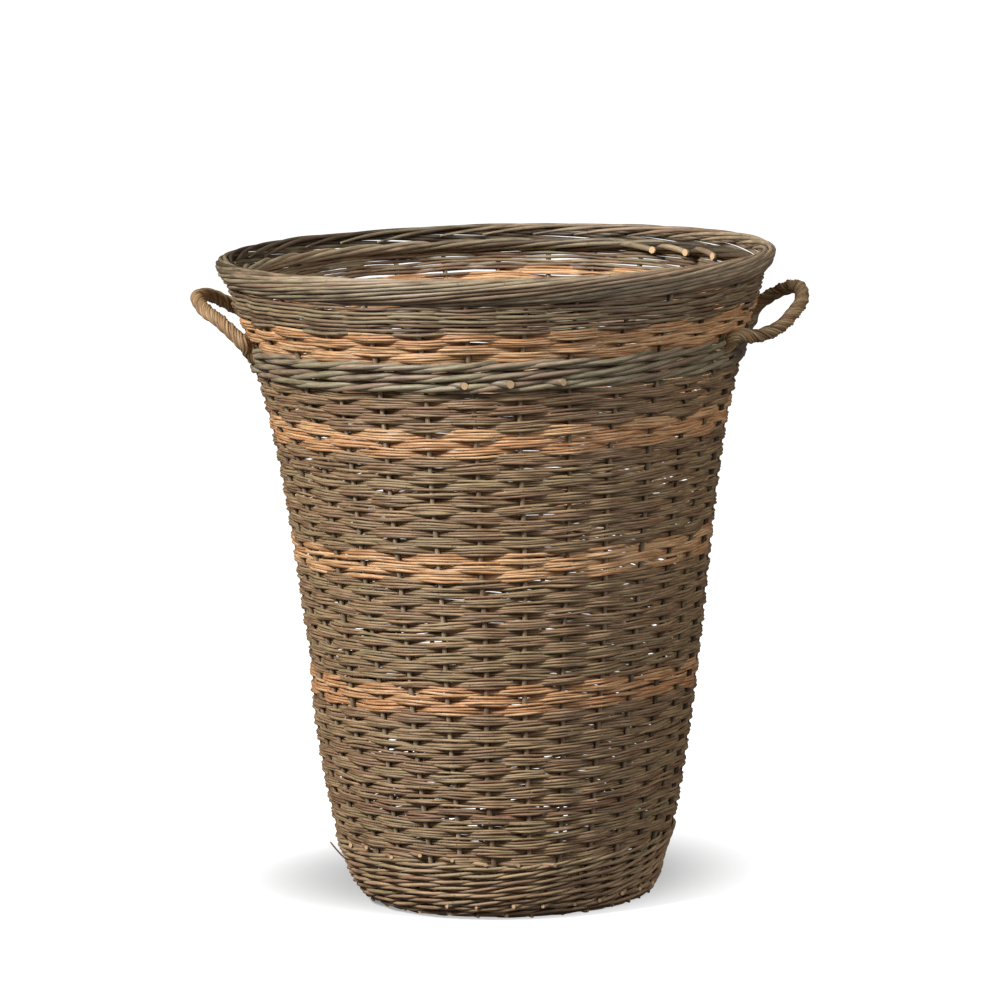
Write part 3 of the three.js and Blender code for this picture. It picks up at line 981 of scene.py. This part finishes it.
@dataclass(frozen=True)
class Butts:
    """Cut ends of rods that show on the outside of a band, a space apart in a line."""

    # Length that shows and how far an end strays, in spaces, how much the cut slants, points of a rod, and
    # its girths
    LENGTH = 0.62
    STRAY_SPACES = 0.07
    SLANT = 1.8
    POINTS = 9
    GIRTHS = (0.85, 1.12)
    # How far behind the stakes a rod begins, how fast it comes out, how far its end then stands out, how
    # much lower it begins, and how far its cut is from its end, the last three as shares of its radius
    BEHIND = 0.9
    COMES_OUT = 0.8
    PROUD = 0.6
    LOWER = 0.4
    CUT = 0.55

    node: str
    first: float
    count: int
    height: float
    radius: float
    climb: float = 0.0
    leftward: bool = False
    stray: float = 3 * MM

    def lay(self, wall: Wall, rods: Rods, rng: np.random.Generator) -> None:
        """Lays the last stretch of each rod, from behind its stake out to the slanting cut.

        Args:
            wall: the wall that they come out of.
            rods: where they are laid.
            rng: seeded source of how far each is from its place in the line.
        """
        towards = -1 if self.leftward else 1
        share = np.linspace(0, 1, self.POINTS)
        for number in range(self.count):
            end = self.first + number + rng.normal(0, self.STRAY_SPACES)
            height = self.height + number * self.climb + rng.normal(0, self.stray)
            radius = self.radius * rng.uniform(*self.GIRTHS)
            reach = wall.stake_radius + radius
            stake = end - towards * self.LENGTH * (1 - share)
            outermost = (1 + self.BEHIND) * reach + self.PROUD * radius
            offset = -self.BEHIND * reach + outermost * share**self.COMES_OUT
            distance = wall.distance_at(height) - self.LOWER * radius * (1 - share)
            line = wall.place(stake, distance, offset, radius)
            outwards = np.array([line[-1][0], line[-1][1], 0.0]) / math.hypot(line[-1][0], line[-1][1])
            ahead = (line[-1] - line[-2]) / np.linalg.norm(line[-1] - line[-2])
            slant = ahead + self.SLANT * outwards
            cut = line[-1] + self.CUT * radius * slant / np.linalg.norm(slant)
            rods.lay(np.concatenate([line, [cut]]), radius, rng)


@dataclass
class Border:
    """The stakes, with their tops laid to the right into the border."""

    wall: Wall
    finishes: Finishes
    rod_butt: float = 3.05 * MM
    rod_tip: float = 2.6 * MM
    last_space: float = 13.3
    # Painted shade: how much darker in tone the stakes are whose tops lie at the back of the border, for the
    # shade that falls there
    back_painted_shade: float = 1.15
    points_per_space: int = 8
    thick_ends: tuple[float, ...] = (2.5, 3.5, 4.46)
    thick_radius: float = 3.9 * MM
    # Radius and height at which a thick end begins, and its points, each (stakes before the cut, millimetres
    # inwards, millimetres down, share of its radius)
    thick_start: Pair = (0.3335, 0.8235)
    thick_route: tuple[tuple[float, float, float, float], ...] = (
        (1.05, 0.0, 0.0, 1.0), (0.8, 3.2, 0.5, 1.0), (0.55, 6.0, 1.8, 1.0), (0.32, 8.2, 3.4, 1.0),
        (0.13, 10.0, 5.0, 1.02), (0.04, 11.2, 5.8, 1.2), (0.03, 14.6, 5.5, 1.2),
    )
    stake_points: int = 90
    stake_girths: Pair = (0.94, 1.06)
    # Girths of a laid top, where along it they are, and how far its end strays, in spaces
    top_girths: Pair = (0.93, 1.07)
    taper_places: tuple[float, ...] = (0.0, 0.06, 0.95, 1.0)
    end_girth: float = 0.5
    end_strays: Pair = (-0.25, 0.15)
    # Size and length of its unevenness, the radius that this is counted along, and where it comes in
    wander: Pair = (0.5 * MM, 0.25)
    wander_radius: float = 0.35
    wander_start: float = 0.3
    rng: np.random.Generator = field(default_factory=lambda: np.random.default_rng(41))
    # Each point is (spaces past the stake, radius, height)
    route: tuple[tuple[float, float, float], ...] = (
        (0.0, 0.344, 0.815), (0.12, 0.3437, 0.8205), (0.4, 0.3395, 0.8262), (0.8, 0.3335, 0.8274),
        (1.4, 0.3297, 0.8252), (2.1, 0.3297, 0.8215), (2.8, 0.333, 0.8178), (3.5, 0.339, 0.8155),
        (4.3, 0.3452, 0.8152), (5.2, 0.3506, 0.8185), (6.3, 0.3552, 0.8238), (7.5, 0.3587, 0.83),
        (8.8, 0.3608, 0.8363), (10.0, 0.3604, 0.8415), (11.0, 0.356, 0.8445), (11.9, 0.3498, 0.844),
        (12.6, 0.3446, 0.8402), (13.1, 0.3425, 0.8355), (13.5, 0.343, 0.831),
    )

    def build(self) -> None:
        """Builds each stake with its part of the border."""
        for stake in range(self.wall.stakes):
            name = f"stake_{stake + 1:02d}"
            rods = Rods(f"willow_{name}")
            middle = self.wall.first_stake + (stake + self.last_space / 2) * self.wall.space
            # Painted shade: a stake whose top lies towards the back of the border gets a darker tone
            darker = self.back_painted_shade * max(0.0, math.sin(middle))
            rods.lay(*self._stake(stake), self.rng, darker)
            for end in self.thick_ends:
                if math.floor(end) == stake:
                    rods.lay(*self._thick_end(end), self.rng)
            rods.make(STAKE, self.finishes, name)

    def _stake(self, stake: int) -> tuple[Points, Points]:
        """Works out one stake.

        Args:
            stake: its number, from the first one round to the left.

        Returns:
            Its line from the base's edge to its tip in the border, and its radius at each point.
        """
        distance = np.linspace(0, self.wall.length, self.stake_points)
        upright = self.wall.place(np.full(len(distance), float(stake)), distance, 0.0, self.wall.stake_radius)
        laid = self._laid(stake)
        girth = self.wall.stake_radius * self.rng.uniform(*self.stake_girths)
        thickness = self.rng.uniform(*self.top_girths)
        share = np.linspace(0, 1, len(laid))
        ends = [self.rod_butt * thickness, self.rod_tip * thickness, self.end_girth * self.rod_tip]
        tapered = np.interp(share, self.taper_places, [girth, *ends])
        return np.concatenate([upright, laid]), np.concatenate([np.full(len(upright), girth), tapered])

    def _laid(self, stake: int) -> Points:
        """Works out the line of a stake's top along the border's route, a little uneven.

        Args:
            stake: its number.

        Returns:
            The line's points, one a row.
        """
        route = smooth_line(list(self.route), 6)
        count = round(self.last_space * self.points_per_space)
        spaces = np.linspace(0, self.last_space + self.rng.uniform(*self.end_strays), count + 1)[1:]
        radius, height = (np.interp(spaces, route[:, 0], column) for column in route.T[1:])
        fade = np.clip(spaces - self.wander_start, 0, 1)
        arc = spaces * self.wall.space * self.wander_radius
        radius = radius + fade * Wander(self.rng, *self.wander)(arc)
        height = height + fade * Wander(self.rng, *self.wander)(arc)
        lean = self.wall.lean_at(np.full(1, float(stake)), np.full(1, self.wall.length))[0]
        return around(radius, self.wall.first_stake + (stake + spaces + lean) * self.wall.space, height)

    def _thick_end(self, end: float) -> tuple[Points, Points]:
        """Works out a thick rod that comes out from under the border and ends inside, in a slanting cut.

        Args:
            end: place of the cut round the basket, counted in stakes.

        Returns:
            Its line, and its radius at each point.
        """
        before, inwards, down, girth = np.array(self.thick_route).T
        angle = self.wall.first_stake + (end + before) * self.wall.space
        radius, height = self.thick_start[0] - inwards * MM, self.thick_start[1] - down * MM
        return around(radius, angle, height), self.thick_radius * girth


@dataclass
class Slath:
    """The base: two arms of sticks, opened out like spokes and woven round."""

    finishes: Finishes
    sticks_per_arm: int = 4
    stick_radius: float = 5 * MM
    stick_spacing: float = 10.4 * MM
    stick_points: int = 80
    shaved_radius: float = 1.9 * MM
    shaved_past: float = 2 * MM
    shave_slope: float = 8 * MM
    edge: Pair = (0.1595, 0.0092)
    middle: Pair = (0.1, 0.017)
    opened: Pair = (0.045, 0.021)
    weaver_radius: float = 2.1 * MM
    weaver_wander: Pair = (0.4 * MM, 8.0)
    weaver_points: int = 6
    rows: int = 24
    rod_points: int = 200
    rng: np.random.Generator = field(default_factory=lambda: np.random.default_rng(61))

    def build(self) -> None:
        """Builds the sticks and the two weavers that chase each other."""
        for place in range(self.sticks_per_arm):
            self._stick(place, 0.0, f"base_stick_{place + 1}")
            self._stick(place, math.pi / 2, f"base_stick_{self.sticks_per_arm + place + 1}")
        for chaser, letter in enumerate("ab"):
            self._weaver(chaser, f"base_weave_{letter}")

    def _stick(self, place: int, turned: float, node: str) -> None:
        """Builds one stick that lies right across the base, shaved thin at the middle in the second arm.

        Args:
            place: its number in its arm.
            turned: angle of its arm.
            node: name of its solid.
        """
        half_width = self.sticks_per_arm * self.stick_spacing / 2
        from_middle = place - (self.sticks_per_arm - 1) / 2
        angle = from_middle * TURN / (4 * self.sticks_per_arm)
        profile = (self.edge, self.middle, self.opened)
        half = [(r * math.cos(angle), r * math.sin(angle), z) for r, z in profile]
        half.append((half_width, from_middle * self.stick_spacing, self.opened[1]))
        other = [(-x, y, z) for x, y, z in reversed(half)]
        line = resample(smooth_line(half + other, 12), self.stick_points)
        radii = np.full(len(line), self.stick_radius)
        if turned > 0:
            past = np.abs(line[:, 0]) - half_width + self.shaved_past
            full = np.clip(past / self.shave_slope, 0, 1)
            radii = self.shaved_radius + full * (self.stick_radius - self.shaved_radius)
        cos, sin = math.cos(turned), math.sin(turned)
        x, y = line[:, 0] * cos - line[:, 1] * sin, line[:, 0] * sin + line[:, 1] * cos
        rods = Rods(f"willow_{node}")
        rods.lay(np.stack([x, y, line[:, 2]], axis=1), radii, self.rng)
        rods.make(STAKE, self.finishes, node)

    def _weaver(self, chaser: int, node: str) -> None:
        """Builds one of the two weavers, over one stick end and under one, from the slath to the edge.

        Args:
            chaser: 0 for the first and 1 for the second.
            node: name of its solid.
        """
        ends = 4 * self.sticks_per_arm
        profile = smooth_line([self.opened, self.middle, self.edge])
        step = np.arange(chaser * ends / 2, (self.rows + chaser) * ends / 2, 1 / self.weaver_points)
        share = np.clip((step / ends * 2 - chaser) / self.rows + 0.01, 0, 1)
        row = share * (len(profile) - 1)
        index = np.arange(len(profile))
        radius, height = (np.interp(row, index, column) for column in profile.T)
        wave = np.cos(math.pi * (step + chaser))
        wander = Wander(self.rng, *self.weaver_wander)(step)
        height = height + wave * (self.stick_radius + self.weaver_radius) + wander
        line = around(radius, (step + 0.5) * TURN / ends, height)
        rods = Rods(f"woven_{node}")
        for begin in range(0, len(line) - 2, self.rod_points):
            rods.lay(line[begin:begin + self.rod_points + 3], self.weaver_radius, self.rng)
        rods.make(FOOT, self.finishes, node)


class Side(Enum):
    """Side of the basket that a handle is on, with the stake at its first leg."""

    RIGHT = -2
    LEFT = 14


@dataclass
class Handle:
    """Stiff rope handle: rods twisted round a core, with legs that go down into the weave."""

    # The ends of the rope in the weave, as points like those of the route
    TAILS = ((-1.0, -0.3, -1.0), (-1.0, -0.1, -0.5)), ((1.0, -0.1, -0.5), (1.0, -0.3, -1.0))

    wall: Wall
    finishes: Finishes
    side: Side
    # Each point is (share of the half width, share of the reach, share of the rise)
    route: tuple[tuple[float, float, float], ...]
    spaces: int = 3
    seat_offset: float = 17.2 * MM
    reach: float = 50 * MM
    rise: float = 44 * MM
    tail: float = 22 * MM
    root_height: float = 0.745
    rods: int = 10
    ring: float = 6.7 * MM
    strands: int = 3
    strand_relief: float = 0.11
    rod_radius: float = 2.15 * MM
    rod_girths: Pair = (0.88, 1.12)
    wander: Pair = (0.3 * MM, 40)
    core_radius: float = 5.2 * MM
    lay: float = 56 * MM
    points: int = 190
    seed: int = 80

    def build(self) -> None:
        """Builds the rope's rods and the core that they are twisted round."""
        node = f"handle_{self.side.name.lower()}"
        rng = np.random.default_rng(self.seed + self.side.value)
        line = resample(smooth_line(self._route()), self.points)
        ahead = np.gradient(line, axis=0)
        ahead /= np.linalg.norm(ahead, axis=1)[:, None]
        spacing = np.linalg.norm(line[1] - line[0])
        across, up = self._frames(ahead)
        rods = Rods(f"rope_{node}")
        steps = np.arange(len(line))
        turned = steps * spacing / self.lay * TURN
        for number in range(self.rods):
            place = number / self.rods * TURN
            relief = 1 + self.strand_relief * math.cos(self.strands * place)
            ring = self.ring * relief + Wander(rng, *self.wander)(steps)
            sideways, upwards = ring * np.cos(turned + place), ring * np.sin(turned + place)
            path = line + across * sideways[:, None] + up * upwards[:, None]
            rods.lay(path, self.rod_radius * rng.uniform(*self.rod_girths), rng)
        rods.lay(line, self.core_radius, rng)
        rods.make(ROPE, self.finishes, node)

    def _route(self) -> list[Points]:
        """Works out the rope's middle line, from the tail of its first leg to that of its second.

        Returns:
            Points of the line.
        """
        middle = self.wall.first_stake + (self.side.value + self.spaces / 2) * self.wall.space
        half = self.spaces * self.wall.space / 2
        points = []
        for across, away, rise in [*self.TAILS[0], *self.route, *self.TAILS[1]]:
            height = self.root_height + rise * (self.rise if away > 0 else self.tail)
            distance = self.wall.distance_at(height)
            radius = float(self.wall.section(distance, self.seat_offset)[0]) + away * self.reach
            angle = middle + across * half
            points.append((radius * math.cos(angle), radius * math.sin(angle), height))
        return points

    def _frames(self, ahead: Points) -> tuple[Points, Points]:
        """Finds two directions square to the rope at each point, which don't turn round it.

        Args:
            ahead: direction of the rope at each point.

        Returns:
            The two directions at each point.
        """
        across = np.empty_like(ahead)
        side = np.cross(ahead[0], (0.0, 0.0, 1.0))
        if np.linalg.norm(side) < 0.1:
            side = np.cross(ahead[0], (1.0, 0.0, 0.0))
        for index, direction in enumerate(ahead):
            side = side - direction * np.dot(side, direction)
            side = side / np.linalg.norm(side)
            across[index] = side
        return across, np.cross(ahead, across)


@dataclass
class Studio:
    """White studio: a pale floor, three soft lamps, and the camera where the photograph was taken from."""

    camera_place: tuple[float, float, float] = (-0.002, -8.573, 1.711)
    camera_down: float = math.radians(7.91)
    camera_roll: float = math.radians(-1.45)
    lens: float = 238.8
    sensor: float = 36.0
    farthest: float = 200.0
    floor_size: float = 90.0
    floor_shade: float = 0.5
    bounce_shade: float = 0.13
    near_glow: float = 0.09
    far_glow: float = 1.0
    glow_edge: Pair = (0.12, 0.46)
    glow_middle: Colour = (-0.05, 0.12, 0.0)
    sky: float = 0.055
    # Height that the lamps point at, and the lamps, each (name, place, size, power)
    aim_height: float = 0.45
    lamps: tuple[tuple[str, Colour, float, float], ...] = (
        ("key", (-3.5, -2.9, 4.0), 1.2, 435.0),
        ("top", (0.0, -0.9, 3.4), 1.4, 26.0),
        ("fill", (3.3, -3.1, 3.1), 2.0, 108.0),
    )

    def build(self) -> None:
        """Sets up the floor, the light and the camera."""
        self._floor()
        self._world()
        for name, place, size, power in self.lamps:
            self._lamp(name, place, size, power)
        self._camera()
        bpy.context.scene.view_settings.view_transform = "Standard"

    def _floor(self) -> None:
        """Lays the floor, which keeps the basket's shadow and is otherwise white to the camera."""
        bpy.ops.object.select_all(action="DESELECT")
        bpy.ops.mesh.primitive_plane_add(size=self.floor_size)
        floor = bpy.context.object
        floor.name = "studio_floor"
        tree = Tree("studio_white")
        seen = Value(tree, tree.add("ShaderNodeLightPath", {}, {}).outputs["Is Camera Ray"])
        place = tree.add("ShaderNodeTexCoord", {}, {}).outputs["Object"]
        inputs = {0: place, 1: self.glow_middle}
        away = tree.add("ShaderNodeVectorMath", {"operation": "DISTANCE"}, inputs).outputs["Value"]
        far = Value(tree, away).ramp(*self.glow_edge)
        glow_colour = tree.mix(far, (self.near_glow,) * 3, (self.far_glow,) * 3)
        lit, dim = (
            tree.add("ShaderNodeBsdfDiffuse", {}, {"Color": (shade,) * 3 + (1.0,)}).outputs[0]
            for shade in (self.floor_shade, self.bounce_shade)
        )
        glow = tree.add("ShaderNodeEmission", {}, {"Color": glow_colour})
        both = tree.add("ShaderNodeAddShader", {}, {0: lit, 1: glow.outputs[0]})
        shader = tree.add("ShaderNodeMixShader", {}, {0: seen, 1: dim, 2: both.outputs[0]})
        tree.material.node_tree.links.new(shader.outputs[0], tree.output.inputs[0])
        floor.data.materials.append(tree.material)

    def _world(self) -> None:
        """Fills the studio with even light, white to the camera."""
        world = bpy.data.worlds.new("studio_light")
        bpy.context.scene.world = world
        world.use_nodes = True
        nodes, links = world.node_tree.nodes, world.node_tree.links
        light = nodes.new("ShaderNodeLightPath")
        background = nodes["Background"]
        strength = nodes.new("ShaderNodeMath")
        strength.operation = "MULTIPLY_ADD"
        links.new(light.outputs["Is Camera Ray"], strength.inputs[0])
        strength.inputs[1].default_value = 1 - self.sky
        strength.inputs[2].default_value = self.sky
        background.inputs["Color"].default_value = (1, 1, 1, 1)
        links.new(strength.outputs[0], background.inputs["Strength"])

    def _lamp(self, name: str, place: tuple[float, float, float], size: float, power: float) -> None:
        """Hangs one soft lamp that points at the basket's middle.

        Args:
            name: its name.
            place: where it hangs.
            size: width of its square.
            power: its power in watts.
        """
        bpy.ops.object.light_add(type="AREA", location=place)
        lamp = bpy.context.object
        lamp.name = name
        lamp.data.size = size
        lamp.data.energy = power
        aim = Vector((0, 0, self.aim_height)) - Vector(place)
        lamp.rotation_euler = aim.to_track_quat("-Z", "Y").to_euler()

    def _camera(self) -> None:
        """Stands the camera."""
        bpy.ops.object.camera_add()
        camera = bpy.context.object
        camera.data.lens = self.lens
        camera.data.sensor_width = self.sensor
        turn = Matrix.Rotation(math.pi / 2 - self.camera_down, 4, "X")
        roll = Matrix.Rotation(self.camera_roll, 4, "Z")
        camera.matrix_world = Matrix.Translation(self.camera_place) @ turn @ roll
        camera.data.clip_end = self.farthest
        bpy.context.scene.camera = camera


SIDING = {"row": 10.6 * MM, "work": Work.SLEW, "butt": 2.1 * MM, "tip": 1.7 * MM}
BANDS = (
    Band("foot_wale", 0.09, 10.6 * MM, Work.WALE, FOOT, 2.65 * MM, 2.1 * MM),
    Band(node="siding_olive_1", top=0.280, bark=OLIVE, **SIDING),
    Band(node="siding_buff_1", top=0.315, bark=BUFF, **SIDING),
    Band(node="siding_olive_2", top=0.455, bark=OLIVE, **SIDING),
    Band(node="siding_buff_2", top=0.489, bark=BUFF, **SIDING),
    Band(node="siding_olive_3", top=0.617, bark=OLIVE, **SIDING),
    Band(node="siding_buff_3", top=0.651, bark=BUFF, **SIDING),
    Band(node="siding_olive_4", top=0.701, bark=OLIVE, **SIDING),
    Band("mid_wale", 0.741, 13.5 * MM, Work.WALE, GREEN, 4.25 * MM, 3.5 * MM),
    Band(node="siding_buff_4", top=0.777, bark=BUFF, **SIDING),
    Band("upper_rand", 0.8145, 5.5 * MM, Work.SLEW, GREY, 2.4 * MM, 1.95 * MM, together=2),
)
BUTTS = (
    Butts("foot_wale", 0.3, 31, 0.011, 2.9 * MM, stray=1.2 * MM),
    Butts("foot_wale", -9.5, 9, 0.024, 2.8 * MM, leftward=True, stray=2 * MM),
    Butts("foot_wale", 9.3, 5, 0.03, 2.8 * MM, leftward=True),
    Butts("foot_wale", -13.2, 8, 0.089, 2.6 * MM, climb=-1.5 * MM),
    Butts("mid_wale", -8.15, 3, 0.712, 4.8 * MM, climb=1.4 * MM, stray=0.6 * MM),
)
# A loose twig that sticks out of the foot on the left
TWIG = ((-0.208, -0.014, 0.045), (-0.2185, -0.02, 0.055), (-0.228, -0.026, 0.067), (-0.2355, -0.03, 0.078))
TWIG_RADIUS = 1.1 * MM
RIGHT_ROUTE = (
    (-1.0, 0.05, 0.0), (-0.76, 0.4, -0.07), (-0.47, 0.78, 0.12), (0.0, 0.96, 0.7), (0.47, 0.78, 1.02),
    (0.79, 0.43, 0.86), (1.0, 0.05, 0.4),
)
LEFT_ROUTE = (
    (-1.0, 0.05, 0.2), (-0.79, 0.43, 0.62), (-0.47, 0.76, 1.02), (0.0, 0.93, 1.1), (0.42, 0.73, 0.84),
    (0.74, 0.4, 0.54), (1.0, 0.05, 0.02),
)


def main() -> None:
    """Builds the studio and the basket, from the base up."""
    logging.basicConfig(level=logging.INFO, format="%(name)s: %(message)s")
    Studio().build()
    finishes = Finishes()
    wall = Wall()
    Slath(finishes).build()
    Spiral(wall, finishes, BANDS, BUTTS).build()
    Border(wall, finishes).build()
    Handle(wall, finishes, Side.RIGHT, RIGHT_ROUTE).build()
    Handle(wall, finishes, Side.LEFT, LEFT_ROUTE, reach=37 * MM).build()


if __name__ == "__main__":
    main()
